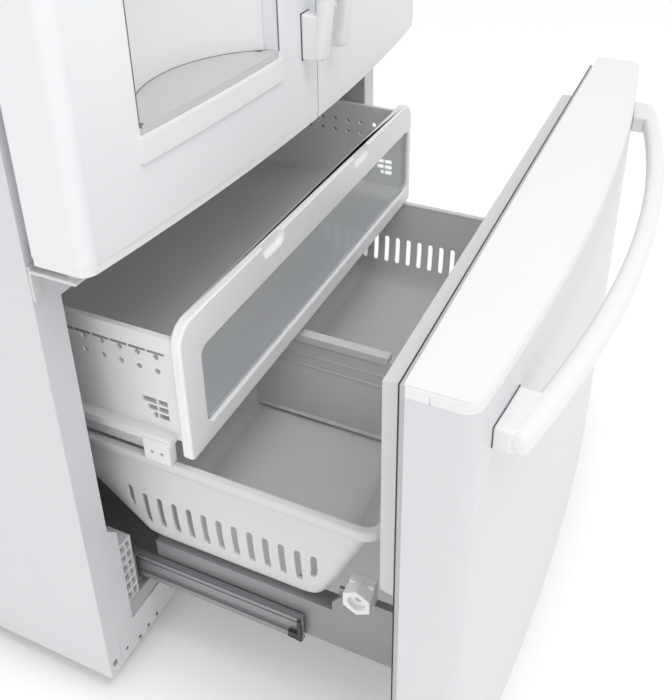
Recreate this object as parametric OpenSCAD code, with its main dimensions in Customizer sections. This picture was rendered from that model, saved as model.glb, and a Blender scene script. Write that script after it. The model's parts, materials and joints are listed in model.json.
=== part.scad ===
// French door refrigerator with a pull-out bottom freezer drawer.
// Millimetres. +Z is up, the doors face -Y, X = 0 is the middle of the width.
// Z = 0 is the floor and Y = 0 is the plane of the cabinet's front flange.
// The freezer drawer and the upper basket stand pulled out, and the doors are shut.

/* [Cabinet] */
// Overall width of the cabinet and its doors
body_w = 908; // [760:1:914]
// Height of the steel case above the floor
case_h = 1743; // [1600:1:1760]
// Depth of the case without its doors
case_d = 746; // [600:1:800]
// Height of the case's lower edge above the floor
floor_gap = 27; // [15:1:60]
// Thickness of the outer steel sheet
skin_t = 1.2; // [0.6:0.1:2]
// Thickness of the insulated walls
wall_t = 40; // [25:1:80]
// Height of the top of the divider between the two compartments
divider_z = 745; // [700:1:800]

/* [Doors] */
// Gap between the front flange and the back of each door
gasket_t = 12; // [8:0.5:20]
// Thickness of a fresh food door at its outer edge
door_t = 68; // [40:1:90]
// Rise of the bowed door front between its edges and the middle
crown = 30; // [5:1:45]
// Height of the lower edge of the fresh food doors
door_z0 = 703; // [690:1:730]
// Height of the upper edge of the fresh food doors
door_z1 = 1738; // [1600:1:1745]
// Gap between the two fresh food doors
split = 3; // [2:0.5:8]
// Radius of the doors' outer vertical corners
door_r = 18; // [4:1:30]

/* [Freezer drawer] */
// How far the drawer stands open
drawer_out = 403; // [0:1:430]
// How far the upper basket stands out
basket_out = 160; // [0:1:300]
// Height of the drawer front's lower edge
drawer_z0 = 60; // [40:1:100]
// Height of the drawer front's upper edge
drawer_z1 = 687; // [600:1:690]
// Thickness of the drawer front at its outer edge
drawer_t = 66; // [40:1:90]

/* [Baskets] */
// Half of the lower basket's width at its rim
low_half = 364; // [250:1:370]
// Height of the lower basket's rim
low_rim_z = 381; // [320:1:384]
// Height of the lower basket's bottom
low_bot_z = 203; // [180:1:240]
// Half of the upper basket's width
up_half = 358; // [250:1:364]
// Height of the upper basket's rim
up_rim_z = 570; // [500:1:600]
// Height of the upper basket's bottom
up_bot_z = 413; // [400:1:440]
// Length of the upper basket from front to back
up_len = 470; // [300:1:520]

/* [Handles] */
// Height of a handle bar across its face
bar_h = 28; // [20:1:45]
// Depth of a handle bar
bar_t = 24; // [14:1:35]
// Finger gap between a door and its handle bar
finger_gap = 36; // [30:1:60]

/* [Hidden] */
half_w = body_w / 2;
in_w = half_w - skin_t - wall_t;
cav_y1 = 690;
ceil_z = case_h - skin_t - 52;
fz_floor_z = 110;
step_z = 330;
step_y0 = 520;
step_y1 = 600;
flange_in = 414;
flange_low_in = 398;
flange_step_z = 262;
door_y0 = -gasket_t;
door_front = door_y0 - door_t;
crown_r = (half_w * half_w + crown * crown) / (2 * crown);
fy = -gasket_t - drawer_out;
fz_front = fy - drawer_t;
cap_h = 11;
pin_x = half_w - 18;
pin_y = -52;
pin_r = 6;
pin_fit = 0.06;
rail_z0 = 128;
rail_z1 = 178;
up_y0 = 48 - basket_out;
up_y1 = up_y0 + 15 + up_len;
low_front = fy + 62;
disp_x0 = -360;
disp_x1 = -100;
disp_z0 = 822;
disp_z1 = 1260;
disp_back = -17;
disp_r = 151;
disp_cy = -172;

white = [0.94, 0.95, 0.95];
liner_c = [0.93, 0.94, 0.93];
steel_c = [0.66, 0.68, 0.70];
dark_c = [0.20, 0.21, 0.22];
grey_c = [0.62, 0.64, 0.66];
clear_c = [0.82, 0.90, 0.94, 0.45];
copper_c = [0.72, 0.45, 0.26];

side_panel_left();
side_panel_right();
top_panel();
back_panel();
rear_cover();
base_pan();
wall_left();
wall_right();
back_wall();
freezer_floor();
compartment_divider();
base_rail();
rib_brackets();
hinges_top();
hinges_centre();
levelling_legs();
roller_left();
roller_right();
compressor();
condenser();
condenser_fan();
water_inlet();
rail_channels();
basket_ledges();
shelf_top();
shelf_middle();
crisper_cover();
crisper_left();
crisper_right();
filter_housing();
door_left_shell();
door_left_liner();
door_left_gasket();
door_left_handle();
door_left_caps();
door_left_bins();
mullion_flap();
dispenser_housing();
dispenser_paddle();
dispenser_tray();
door_right_shell();
door_right_liner();
door_right_gasket();
door_right_handle();
door_right_caps();
door_right_bins();
freezer_front();
freezer_liner();
freezer_gasket();
freezer_top_cap();
freezer_handle();
mid_rails();
drawer_rails();
rail_adjusters();
lower_basket();
basket_divider();
upper_basket();
upper_frame();
upper_window();
upper_runners();

// ---- helpers ----

// A box given by its low and high corners
module box(lo, hi) {
  translate(lo) cube([hi[0] - lo[0], hi[1] - lo[1], hi[2] - lo[2]]);
}

// A rectangle with round corners, from low corner to high corner
module round_rect(lo, hi, r) {
  translate([lo[0] + r, lo[1]]) square([hi[0] - lo[0] - 2 * r, hi[1] - lo[1]]);
  translate([lo[0], lo[1] + r]) square([hi[0] - lo[0], hi[1] - lo[1] - 2 * r]);
  for (x = [lo[0] + r, hi[0] - r])
    for (y = [lo[1] + r, hi[1] - r])
      translate([x, y]) circle(r = r, $fn = 32);
}

// Stand a profile drawn in X and Z upright, and pull it along Y from y0 to y1
module along_y(y0, y1) {
  translate([0, y1, 0]) rotate([90, 0, 0]) linear_extrude(height = y1 - y0) children();
}

// Pull a profile drawn in Y and Z along X from x0 to x1
module along_x(x0, x1) {
  translate([x0, 0, 0]) rotate([90, 0, 90]) linear_extrude(height = x1 - x0) children();
}

// Seen from above: a slab whose front is one wide arc, from x0 to x1 and back to yb
module bowed(x0, x1, yb, front) {
  intersection() {
    translate([0, front - crown + crown_r]) circle(r = crown_r, $fn = 360);
    translate([x0, front - crown - 1]) square([x1 - x0, yb - front + crown + 1]);
  }
}

// The bowed slab with its outer left corner rounded
module bowed_left(x1, yb, front) {
  cy = front - crown + crown_r - sqrt(pow(crown_r - door_r, 2) - pow(half_w - door_r, 2));
  bowed(door_r - half_w, x1, yb, front);
  translate([-half_w, cy]) square([door_r + 0.01, yb - cy]);
  translate([door_r - half_w, cy]) circle(r = door_r, $fn = 48);
}

// The bowed slab across the full width with both outer corners rounded
module bowed_full(yb, front) {
  bowed_left(half_w / 2, yb, front);
  mirror([1, 0]) bowed_left(half_w / 2, yb, front);
}

// ---- cabinet ----

module side_panel_left() {
  color(white) {
    box([-half_w, 0, floor_gap], [skin_t - half_w, case_d, case_h]);
    along_y(0, 1.5) polygon([[skin_t - half_w, 83], [-flange_low_in, 83], [-flange_low_in, flange_step_z - 8],
      [-flange_in, flange_step_z + 10], [-flange_in, case_h - skin_t], [skin_t - half_w, case_h - skin_t]]);
    box([skin_t - half_w, 0, floor_gap], [-430, 1.5, 83]);
  }
}

module side_panel_right() {
  color(white) mirror([1, 0, 0]) side_panel_left();
}

module top_panel() {
  color(white) {
    box([skin_t - half_w, 0, case_h - skin_t], [half_w - skin_t, case_d, case_h]);
    box([-flange_in, 0, ceil_z], [flange_in, 1.5, case_h - skin_t]);
    box([-in_w, 1.5, ceil_z], [in_w, cav_y1, case_h - skin_t]);
  }
}

module back_panel() {
  color(white) difference() {
    box([skin_t - half_w, case_d - skin_t, 360], [half_w - skin_t, case_d, case_h - skin_t]);
    for (k = [0:5])
      box([-60, case_d - 5, 420 + 18 * k], [60, case_d + 1, 426 + 18 * k]);
  }
}

module rear_cover() {
  color(grey_c) difference() {
    box([skin_t - half_w, case_d - skin_t, floor_gap + 1.5], [half_w - skin_t, case_d, 360]);
    for (i = [0:8])
      for (k = [0:9])
        box([-396 + 44 * i, case_d - 5, 70 + 24 * k], [-362 + 44 * i, case_d + 1, 78 + 24 * k]);
    translate([360, case_d - 5, 200]) rotate([-90, 0, 0]) cylinder(h = 10, r = 15, $fn = 48);
  }
}

module base_pan() {
  color(steel_c) difference() {
    box([skin_t - half_w, 2, floor_gap], [half_w - skin_t, case_d - skin_t, floor_gap + 1.5]);
    for (x = [-390, 390]) {
      translate([x, 40, floor_gap - 1]) cylinder(h = 4, r = 8.2, $fn = 32);
      box([x - 15, 650, floor_gap - 1], [x + 15, 716, floor_gap + 3]);
    }
  }
  color(steel_c) for (x = [-390, 390]) {
    translate([x - 20, 683, 24]) rotate([0, 90, 0]) cylinder(h = 40, r = 4, $fn = 32);
    for (e = [-1, 1])
      box([x + e * 18 - 2, 668, 16], [x + e * 18 + 2, 698, 46]);
  }
}

module wall_left() {
  color(liner_c) {
    box([skin_t - half_w, 1.5, 84], [-in_w, case_d - skin_t, case_h - skin_t]);
    for (z = [1100, 1400])
      box([-in_w, 120, z], [14 - in_w, 600, z + 10]);
    box([-in_w, 70, 984], [14 - in_w, 640, 994]);
  }
}

module wall_right() {
  color(liner_c) mirror([1, 0, 0]) wall_left();
}

// The insulated back stands above a sloped step that clears the machine space
module back_wall() {
  color(liner_c) difference() {
    box([-in_w, cav_y1, step_z], [in_w, case_d - skin_t, case_h - skin_t]);
    for (x = [-150:50:150])
      box([x - 14, cav_y1 - 1, 1500], [x + 14, cav_y1 + 20, 1506]);
  }
}

module freezer_floor() {
  color(liner_c) along_x(-in_w, in_w)
    polygon([[1.5, 84], [step_y0 + 25, 84], [step_y1 + 25, step_z - 40],
      [case_d - skin_t, step_z - 40], [case_d - skin_t, step_z], [step_y1, step_z],
      [step_y0, fz_floor_z], [1.5, fz_floor_z]]);
}

module compartment_divider() {
  color(liner_c) {
    box([-in_w, 1.5, 640], [in_w, cav_y1, divider_z]);
    for (x = [-320, -80, 80, 320])
      box([x - 3, 90, divider_z], [x + 3, 640, divider_z + 6.6]);
  }
  color(white) box([-flange_in, 0, 640], [flange_in, 1.5, divider_z]);
}

module base_rail() {
  color(white) difference() {
    union() {
      box([-429.5, 0, floor_gap], [429.5, 1.5, 83]);
      box([-428, 1.5, 80.5], [428, 6, 83]);
      box([-428, 1.5, 30], [428, 6, 33]);
    }
    for (x = [-392, -372, -352, 352, 372, 392])
      box([x, -1, floor_gap - 1], [x + 6, 7, 36]);
    for (x = [-417, 417])
      translate([x, -1, 44]) rotate([-90, 0, 0]) cylinder(h = 4, r = 3, $fn = 24);
  }
}

module rib_brackets() {
  color(white) for (s = [-1, 1])
    mirror([s == 1 ? 1 : 0, 0, 0]) difference() {
      box([-397, 3, 110.3], [-373, 40, 222]);
      for (k = [0:5])
        for (j = [0:1])
          box([-394.5 + 11 * j, 2, 114 + 17.9 * k], [-386 + 11 * j, 30, 127.2 + 17.9 * k]);
    }
}

// ---- hinges, feet and machine space ----

module hinges_top() {
  for (s = [-1, 1]) {
    color(steel_c) {
      box([s == 1 ? 385 : -half_w + 4, -60, case_h + 1], [s == 1 ? half_w - 4 : -385, 90, case_h + 5]);
      box([s == 1 ? 385 : -half_w + 4, 10, case_h], [s == 1 ? half_w - 4 : -385, 90, case_h + 1]);
      translate([s * pin_x, pin_y, door_z1 - 22])
        cylinder(h = case_h + 3 - door_z1 + 22, r = pin_r, $fn = 48);
    }
    color(white)
      box([s == 1 ? 380 : -half_w + 1, -66, case_h + 5], [s == 1 ? half_w - 1 : -380, 110, case_h + 32]);
  }
}

module hinges_centre() {
  color(steel_c) for (s = [-1, 1]) {
    box([s == 1 ? 422 : -453, -62, 691], [s == 1 ? 453 : -422, -1, 695]);
    box([s == 1 ? 442 : -453, -4, 655], [s == 1 ? 453 : -442, 0, 691]);
    box([s == 1 ? 442 : -453, -4, 695], [s == 1 ? 453 : -442, 0, 699]);
    translate([s * pin_x, pin_y, 695]) cylinder(h = 26, r = pin_r, $fn = 48);
    difference() {
      translate([s * pin_x, pin_y, 695]) cylinder(h = 6.5, r = 11, $fn = 48);
      translate([s * pin_x, pin_y, 694]) cylinder(h = 9, r = pin_r, $fn = 48);
    }
  }
}

module levelling_legs() {
  color(steel_c) for (x = [-390, 390]) {
    translate([x, 40, 0]) cylinder(h = 9, r = 18, $fn = 48);
    translate([x, 40, 9]) cylinder(h = 8, r = 11, $fn = 6);
    translate([x, 40, 17]) cylinder(h = 60, r = 7.9, $fn = 32);
    difference() {
      box([x - 22, 18, floor_gap + 1.5], [x + 22, 62, floor_gap + 12]);
      translate([x, 40, floor_gap]) cylinder(h = 20, r = 7.9, $fn = 32);
    }
  }
}

module roller(s) {
  color(dark_c) difference() {
    translate([s * 390 - 11, 683, 24]) rotate([0, 90, 0]) cylinder(h = 22, r = 24, $fn = 64);
    translate([s * 390 - 12, 683, 24]) rotate([0, 90, 0]) cylinder(h = 24, r = 4.06, $fn = 32);
  }
}

module roller_left() {
  roller(-1);
}

module roller_right() {
  roller(1);
}

module compressor() {
  color(dark_c) {
    translate([-210, 668, 60]) cylinder(h = 110, r = 62, $fn = 64);
    translate([-210, 668, 170]) cylinder(h = 22, r1 = 62, r2 = 30, $fn = 64);
    box([-275, 606, 50], [-145, 730, 60]);
    for (x = [-262, -158])
      for (y = [618, 718])
        translate([x, y, floor_gap + 1.5]) cylinder(h = 50 - floor_gap - 1.5, r = 9, $fn = 24);
  }
  color(copper_c) translate([-210, 668, 192]) cylinder(h = 30, r = 4, $fn = 24);
}

module condenser() {
  color(steel_c) {
    for (k = [0:7])
      translate([60, 640, 60 + 22 * k]) rotate([0, 90, 0]) cylinder(h = 170, r = 4, $fn = 24);
    for (k = [0:7])
      translate([60, 690, 60 + 22 * k]) rotate([0, 90, 0]) cylinder(h = 170, r = 4, $fn = 24);
    for (x = [60, 100, 140, 180, 226])
      box([x, 628, floor_gap + 1.5], [x + 4, 702, 240]);
    box([-72, 618, floor_gap + 1.5], [-68, 712, 240]);
    translate([-68, 665, 140]) rotate([0, 90, 0]) cylinder(h = 82, r = 4, $fn = 32);
  }
}

// Hub and blades turn on a short post that stands from the condenser's shroud
module condenser_fan() {
  color(dark_c) translate([0, 665, 140]) rotate([0, 90, 0]) {
    difference() {
      translate([0, 0, -14]) cylinder(h = 24, r = 20, $fn = 48);
      translate([0, 0, -15]) cylinder(h = 26, r = 4.06, $fn = 32);
    }
    for (a = [0:60:300])
      rotate([0, 0, a]) translate([18, -14, -4]) rotate([24, 0, 0]) cube([44, 26, 2.5]);
  }
}

module water_inlet() {
  color(steel_c) {
    box([330, 690, 160], [390, 742, 240]);
    box([330, 690, floor_gap + 1.5], [352, 694, 160]);
  }
  color(copper_c) translate([360, 742, 200]) rotate([-90, 0, 0]) cylinder(h = 24, r = 9.5, $fn = 48);
}

// ---- fixed runners ----

module rail_channels() {
  color(steel_c) for (s = [-1, 1])
    mirror([s == 1 ? 1 : 0, 0, 0]) {
      difference() {
        box([-372, 2, rail_z0], [-364.5, 500, rail_z1]);
        box([-370.5, 1, rail_z0 + 2], [-364, 501, rail_z1 - 2]);
      }
      for (y = [60, 260, 460])
        box([-in_w, y, rail_z0 + 10], [-372, y + 24, rail_z1 - 10]);
    }
}

module basket_ledges() {
  color(liner_c) for (s = [-1, 1])
    mirror([s == 1 ? 1 : 0, 0, 0]) {
      box([-in_w, 120, 394], [-361, 640, 411.5]);
      box([-in_w, 120, 411.5], [-380, 640, 426]);
    }
}

// ---- fresh food compartment ----

// A glass shelf: the pane lies on a frame with a raised front lip
module shelf(z, y0, y1) {
  color(white) difference() {
    box([-394, y0, z], [394, y1, z + 14]);
    box([-380, y0 + 14, z - 1], [380, y1 - 14, z + 15]);
  }
  color(clear_c) box([-380, y0 + 14, z + 5], [380, y1 - 14, z + 9]);
  for (s = [-1, 1])
    color(white) box([s == 1 ? 394 : -409, y0 + 40, z], [s == 1 ? 409 : -394, y1 - 40, z + 8]);
}

module shelf_top() {
  shelf(1410.5, 130, 580);
}

module shelf_middle() {
  shelf(1110.5, 130, 580);
}

module crisper_cover() {
  shelf(994.5, 86, 620);
  color(white) box([-4, 90, divider_z], [4, 610, 994.5]);
}

module crisper_tub(x0, x1) {
  color(clear_c) difference() {
    box([x0, 72, 752], [x1, 600, 984]);
    box([x0 + 4, 78, 757], [x1 - 4, 594, 985]);
    box([x0 + 60, 70, 930], [x1 - 60, 79, 960]);
  }
  color(white) {
    box([x0, 68, 962], [x1, 72, 984]);
    box([x0, 68, 752], [x1, 72, 760]);
  }
}

module crisper_left() {
  crisper_tub(-392, -8);
}

module crisper_right() {
  crisper_tub(8, 392);
}

module filter_housing() {
  color(white) {
    box([250, 120, ceil_z - 64], [400, 420, ceil_z]);
    translate([325, 119, ceil_z - 32]) rotate([90, 0, 0]) cylinder(h = 10, r = 26, $fn = 48);
    box([320, 100, ceil_z - 50], [330, 109, ceil_z - 14]);
  }
  color(clear_c) box([-120, 200, ceil_z - 18], [120, 420, ceil_z]);
}

// ---- fresh food doors ----

module pin_holes(x) {
  translate([x, pin_y, door_z0 - 1]) cylinder(h = 24, r = pin_r + pin_fit, $fn = 48);
  translate([x, pin_y, door_z1 - 24]) cylinder(h = 30, r = pin_r + pin_fit, $fn = 48);
}

module left_slab() {
  bowed_left(-split / 2, door_y0, door_front);
}

module door_left_shell() {
  color(white) difference() {
    translate([0, 0, door_z0 + cap_h]) linear_extrude(height = door_z1 - door_z0 - 2 * cap_h) left_slab();
    pin_holes(-pin_x);
    box([disp_x0, -200, disp_z0], [disp_x1, disp_back, disp_z1]);
  }
}

module door_right_shell() {
  color(white) difference() {
    translate([0, 0, door_z0 + cap_h]) linear_extrude(height = door_z1 - door_z0 - 2 * cap_h)
      mirror([1, 0]) left_slab();
    pin_holes(pin_x);
  }
}

// End caps are a little smaller than the shell all round, with a lip along the back edge
module caps(s) {
  color(white) difference() {
    for (z = [door_z0, door_z1 - cap_h])
      translate([0, 0, z]) linear_extrude(height = cap_h)
        mirror([s == 1 ? 1 : 0, 0]) intersection() {
          translate([0, 1.2]) left_slab();
          translate([1.2 - half_w, -200]) square([half_w, 200 - gasket_t]);
        }
    pin_holes(s * pin_x);
  }
}

module door_left_caps() {
  caps(-1);
}

module door_right_caps() {
  caps(1);
}

// Inner liner: a flat sheet with a raised dike round the shelves' space
module door_liner_left() {
  x0 = -402;
  x1 = -50;
  z0 = 762;
  z1 = 1676;
  color(liner_c) {
    box([8 - half_w, door_y0, door_z0 + 12], [-10, door_y0 + 2.5, door_z1 - 12]);
    box([x0, door_y0 + 2.5, z0], [x0 + 24, 30, z1]);
    box([x1 - 24, door_y0 + 2.5, z0], [x1, 30, z1]);
    box([x0 + 24, door_y0 + 2.5, z0], [x1 - 24, 30, z0 + 20]);
    box([x0 + 24, door_y0 + 2.5, z1 - 20], [x1 - 24, 30, z1]);
  }
}

module door_left_liner() {
  door_liner_left();
  color(liner_c) {
    box([-51, 2, 758], [-34, 18, 771.5]);
    box([-51, 2, 1668.5], [-34, 18, 1680]);
    translate([-40, 10, 771]) cylinder(h = 27, r = 3, $fn = 32);
    translate([-40, 10, 1642]) cylinder(h = 27, r = 3, $fn = 32);
  }
}

module door_right_liner() {
  mirror([1, 0, 0]) door_liner_left();
}

module gasket_left() {
  color(dark_c) difference() {
    box([-441, door_y0 + 2.5, 722], [-14, -0.9, 1722]);
    box([-428, door_y0, 735], [-27, 0, 1709]);
  }
}

module door_left_gasket() {
  gasket_left();
}

module door_right_gasket() {
  mirror([1, 0, 0]) gasket_left();
}

// One bin: a tray with a front rail, hung between the dikes
module bin(z, h) {
  color(clear_c) difference() {
    box([-377.5, 3, z], [-74.5, 58, z + h]);
    box([-374, 6, z + 4], [-78, 54, z + h + 1]);
  }
  color(white) box([-377.5, door_y0 + 2.5, z], [-74.5, 3, z + h - 10]);
}

module door_left_bins() {
  for (z = [800, 1090, 1400])
    bin(z, 110);
}

module door_right_bins() {
  mirror([1, 0, 0]) for (z = [790, 1060, 1330])
    bin(z, 130);
}

// The hinged strip that closes the gap behind the split between the doors
module mullion_flap() {
  color(grey_c) difference() {
    box([-44, 0.6, 772], [-8, 18, 1668]);
    for (z = [771, 1638])
      translate([-40, 10, z]) cylinder(h = 31, r = 3.06, $fn = 32);
  }
}

// Upright bar, bowed away from the door, with a foot at each end
module upright_handle(s) {
  z0 = 800;
  z1 = 1580;
  zc = (z0 + z1) / 2;
  hl = (z1 - z0) / 2;
  sag = 30;
  r_out = (hl * hl + sag * sag) / (2 * sag);
  y_face = door_front - crown;
  y_out = y_face - finger_gap - bar_t;
  x0 = s == 1 ? 20 : -20 - bar_t;
  color(white) {
    along_x(x0, x0 + bar_t) intersection() {
      difference() {
        translate([y_out + r_out, zc]) circle(r = r_out, $fn = 256);
        translate([y_out + r_out + bar_t * 0.8, zc]) circle(r = r_out, $fn = 256);
      }
      translate([y_out - 1, z0]) square([70, z1 - z0]);
    }
    for (z = [z0, z1 - 63])
      along_x(x0, x0 + bar_t) polygon([[y_face + 1.2, z], [y_face + 1.2, z + 63],
        [y_out + 40, z + 63], [y_out + 31, z + 31], [y_out + 40, z]]);
  }
}

module door_left_handle() {
  upright_handle(-1);
}

module door_right_handle() {
  upright_handle(1);
}

// ---- dispenser ----

module dispenser_housing() {
  color(white) {
    difference() {
      box([disp_x0 + 0.2, -88, disp_z0 + 0.2], [disp_x1 - 0.2, disp_back - 0.2, disp_z1 - 0.2]);
      translate([-230, 0, disp_z0 + 4]) linear_extrude(height = 300)
        intersection() {
          translate([0, disp_cy]) circle(r = disp_r, $fn = 128);
          translate([-126, -120]) square([252, 120]);
        }
    }
    translate([0, 0, 794]) linear_extrude(height = 27) difference() {
      bowed(disp_x0 - 4, disp_x1 + 4, -60, door_front - 4);
      bowed(disp_x0 - 5, disp_x1 + 5, -50, door_front + 1);
    }
    difference() {
      box([disp_x0 + 0.2, -112, 1126], [disp_x1 - 0.2, -88, disp_z1 - 0.2]);
      for (k = [0:4])
        translate([-310 + 40 * k, -113, 1180]) rotate([-90, 0, 0]) cylinder(h = 4, r = 12, $fn = 32);
    }
  }
  color(dark_c) for (k = [0:4])
    translate([-310 + 40 * k, -112.5, 1180]) rotate([-90, 0, 0]) cylinder(h = 3.5, r = 11, $fn = 32);
  color(grey_c) translate([-230, -80, 1104]) cylinder(h = 23, r = 14, $fn = 48);
  for (e = [-1, 1])
    color(grey_c) box([-230 + e * 40 - 3, -60, 1084], [-230 + e * 40 + 3, -44, 1126]);
  color(steel_c) translate([-271, -52, 1092]) rotate([0, 90, 0]) cylinder(h = 82, r = 3, $fn = 32);
}

module dispenser_paddle() {
  color(dark_c) {
    difference() {
      translate([-264, -52, 1092]) rotate([0, 90, 0]) cylinder(h = 68, r = 6, $fn = 32);
      translate([-265, -52, 1092]) rotate([0, 90, 0]) cylinder(h = 70, r = 3.05, $fn = 32);
    }
    box([-258, -55, 990], [-202, -51, 1087]);
  }
}

module dispenser_tray() {
  color(white) {
    translate([-230, 0, disp_z0 + 4.2]) linear_extrude(height = 5) intersection() {
      translate([0, disp_cy]) circle(r = disp_r - 0.8, $fn = 128);
      translate([-118, -90]) square([236, 82]);
    }
    translate([0, 0, disp_z0 + 0.3]) linear_extrude(height = 8.9)
      bowed(disp_x0 + 0.6, disp_x1 - 0.6, -88.3, door_front + 2);
  }
}

// ---- freezer drawer front ----

module freezer_front() {
  color(white) translate([0, 0, drawer_z0]) linear_extrude(height = drawer_z1 - 14 - drawer_z0)
    bowed_full(fy, fz_front);
}

module freezer_top_cap() {
  color(white) difference() {
    union() {
      translate([0, 0, drawer_z1 - 14]) linear_extrude(height = 12) bowed_full(fy, fz_front);
      translate([0, 0, drawer_z1 - 2]) linear_extrude(height = 2)
        intersection() {
          translate([0, 1.5]) bowed_full(fy, fz_front);
          translate([1.5 - half_w, fz_front - 60]) square([body_w - 3, 200]);
        }
    }
    for (s = [-1, 1])
      box([s == 1 ? half_w - 1 : -half_w - 1, fy - 24, drawer_z1 - 15],
        [s == 1 ? half_w + 1 : -half_w + 1, fy - 22, drawer_z1 - 5]);
  }
}

module freezer_liner() {
  color(liner_c) {
    box([8 - half_w, fy, drawer_z0 + 8], [half_w - 8, fy + 2.5, drawer_z1 - 10]);
    along_x(-396, 396) polygon([[fy + 2.5, 322], [fy + 45, 334], [fy + 45, 632], [fy + 2.5, 637]]);
    box([-384, fy + 2.5, 114], [384, fy + 14, 322]);
  }
}

module freezer_gasket() {
  color(dark_c) difference() {
    box([-441, fy + 2.5, 70], [441, fy + gasket_t - 0.9, 674]);
    box([-426, fy + 1, 85], [426, fy + gasket_t, 660]);
  }
}

// Level bar, bowed away from the front, with a foot at each end
module freezer_handle() {
  z0 = 605;
  r_out = 1621;
  y_out = fz_front - crown - finger_gap - bar_t - 2;
  color(white) {
    translate([0, 0, z0]) linear_extrude(height = bar_h) intersection() {
      difference() {
        translate([0, y_out + r_out]) circle(r = r_out, $fn = 360);
        translate([0, y_out + r_out + bar_t]) circle(r = r_out, $fn = 360);
      }
      translate([-416, y_out - 1]) square([832, 90]);
    }
    for (s = [-1, 1])
      mirror([s == 1 ? 1 : 0, 0, 0]) translate([0, 0, z0]) linear_extrude(height = bar_h)
        difference() {
          polygon([[-416, y_out + 64], [-416, fz_front + 4], [-350, fz_front + 4], [-350, y_out + 48],
            [-383, y_out + 56]]);
          bowed(-420, -340, fy, fz_front);
        }
  }
}

// ---- drawer runners ----

module mid_rails() {
  ym = 3 - 0.628 * drawer_out;
  color(steel_c) for (s = [-1, 1])
    mirror([s == 1 ? 1 : 0, 0, 0])
      difference() {
        box([-363.5, ym, rail_z0 + 3], [-355.5, ym + 480, rail_z1 - 3]);
        box([-364, ym - 1, rail_z0 + 15], [-361, ym + 481, rail_z1 - 15]);
        box([-357, ym - 1, rail_z0 + 7], [-355, ym + 481, rail_z1 - 7]);
      }
}

module drawer_rails() {
  color(steel_c) for (s = [-1, 1])
    mirror([s == 1 ? 1 : 0, 0, 0]) {
      box([-354.5, fy + 14, rail_z0 + 8], [-350, 80, rail_z1 - 8]);
      box([-354.5, fy + 14, rail_z1 - 8], [-350, -24, low_bot_z - 4]);
      box([-354.5, -295, low_bot_z - 4], [-330, -24, low_bot_z]);
      along_x(-360, -354.5) polygon([[fy + 14, rail_z1 + 8], [-292, rail_z1 + 8], [-292, 226], [-312, 250],
        [fy + 14, 250]]);
      box([-354.5, fy + 14, low_bot_z - 4], [-350, -300, 250]);
    }
}

module rail_adjusters() {
  color(white) for (s = [-1, 1])
    mirror([s == 1 ? 1 : 0, 0, 0]) {
      box([-364, -350, 250], [-351, -318, 286]);
      difference() {
        translate([-364, -334, 270]) rotate([0, -90, 0]) cylinder(h = 16, r = 20, $fn = 6);
        translate([-374, -334, 270]) rotate([0, -90, 0]) cylinder(h = 8, r = 11, $fn = 48);
        translate([-369, -334, 270]) rotate([0, -90, 0]) cylinder(h = 12, r = 4, $fn = 32);
      }
    }
}

// ---- lower basket ----

// Side view of the basket: raked front, flat bottom and a raised back step
module low_profile(t) {
  polygon([[low_front + t, low_rim_z + t], [low_front + 74.5 + t, low_bot_z + 20 + t],
    [low_front + 87.4 + t, low_bot_z + 5.4 + t], [low_front + 106 + t, low_bot_z + t],
    [-20 + t / 2, low_bot_z + t],
    [58 - t / 2, 276 + t], [148 - t, 276 + t], [150 - t, low_rim_z + t]]);
}

module lower_basket() {
  color(white) {
    difference() {
      intersection() {
        along_x(-low_half, low_half) low_profile(0);
        along_y(low_front - 20, 200) polygon([[-low_half, low_rim_z], [-low_half, 290], [-361, 254],
          [-355, 222], [-342, low_bot_z], [342, low_bot_z], [355, 222], [361, 254], [low_half, 290],
          [low_half, low_rim_z]]);
      }
      intersection() {
        along_x(-low_half, low_half) low_profile(3);
        along_y(low_front - 20, 200) polygon([[3 - low_half, low_rim_z + 5], [3 - low_half, 291], [-358, 255],
          [-352, 224], [-339, low_bot_z], [339, low_bot_z], [352, 224], [358, 255], [low_half - 3, 291],
          [low_half - 3, low_rim_z + 5]]);
      }
      for (k = [0:12])
        along_x(-low_half - 5, low_half + 5) round_rect([-8 - 22.3 * k, k % 12 == 0 ? 262 : 246],
          [1 - 22.3 * k, 302], 4.4);
    }
    difference() {
      box([-low_half - 8, low_front - 6, low_rim_z - 4], [low_half + 8, 158, low_rim_z]);
      box([3 - low_half, low_front + 4, low_rim_z - 5], [low_half - 3, 146, low_rim_z + 1]);
    }
    difference() {
      box([-low_half - 8, low_front - 6, low_rim_z - 14], [low_half + 8, 158, low_rim_z - 4]);
      box([-low_half - 5, low_front - 3, low_rim_z - 15], [low_half + 5, 155, low_rim_z - 3]);
    }
  }
}

module basket_divider() {
  color(white) {
    box([-66, low_front + 106, 212], [-50, -24, 214]);
    box([-60, low_front + 106, 280], [-57, 136, 360]);
    box([-60, low_front + 106, 214], [-57, -18, 280]);
    box([-66, low_front + 108, 360], [-50, 136, 372]);
    for (z = [310, 330, 350])
      box([-61.2, low_front + 106, z], [-60, 136, z + 3]);
  }
}

// ---- upper basket ----

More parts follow.
